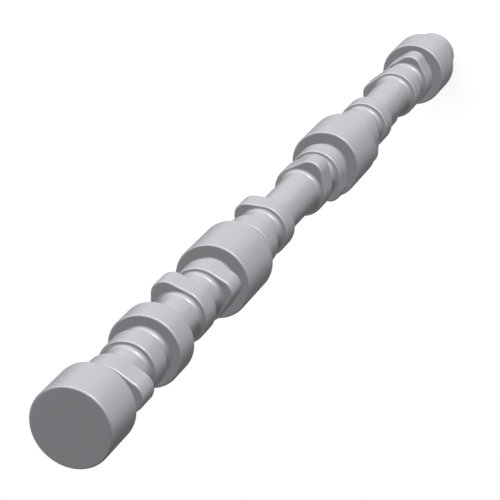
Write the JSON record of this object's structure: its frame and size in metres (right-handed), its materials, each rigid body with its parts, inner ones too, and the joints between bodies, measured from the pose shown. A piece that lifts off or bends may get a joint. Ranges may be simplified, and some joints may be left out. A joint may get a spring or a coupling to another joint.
{
  "type": "camshaft",
  "caption": "One-piece camshaft for an in-line six-cylinder pushrod engine, with equal bearing journals, inlet and exhaust lobes, a low pump eccentric and a drive nose.",
  "frame": {"origin": "centre of the drive end's flat face, on the shaft's axis, which is the face the shaft stands on", "axes": "+Z along the shaft's axis towards the plain rear end; +X through the nose of the first cylinder's exhaust lobe"},
  "size_m": [0.051, 0.0508, 0.719],
  "materials": {
    "steel": "ground satin steel, even light grey"
  },
  "bodies": {
    "root": {"camshaft": "steel"}
  },
  "joints": []
}
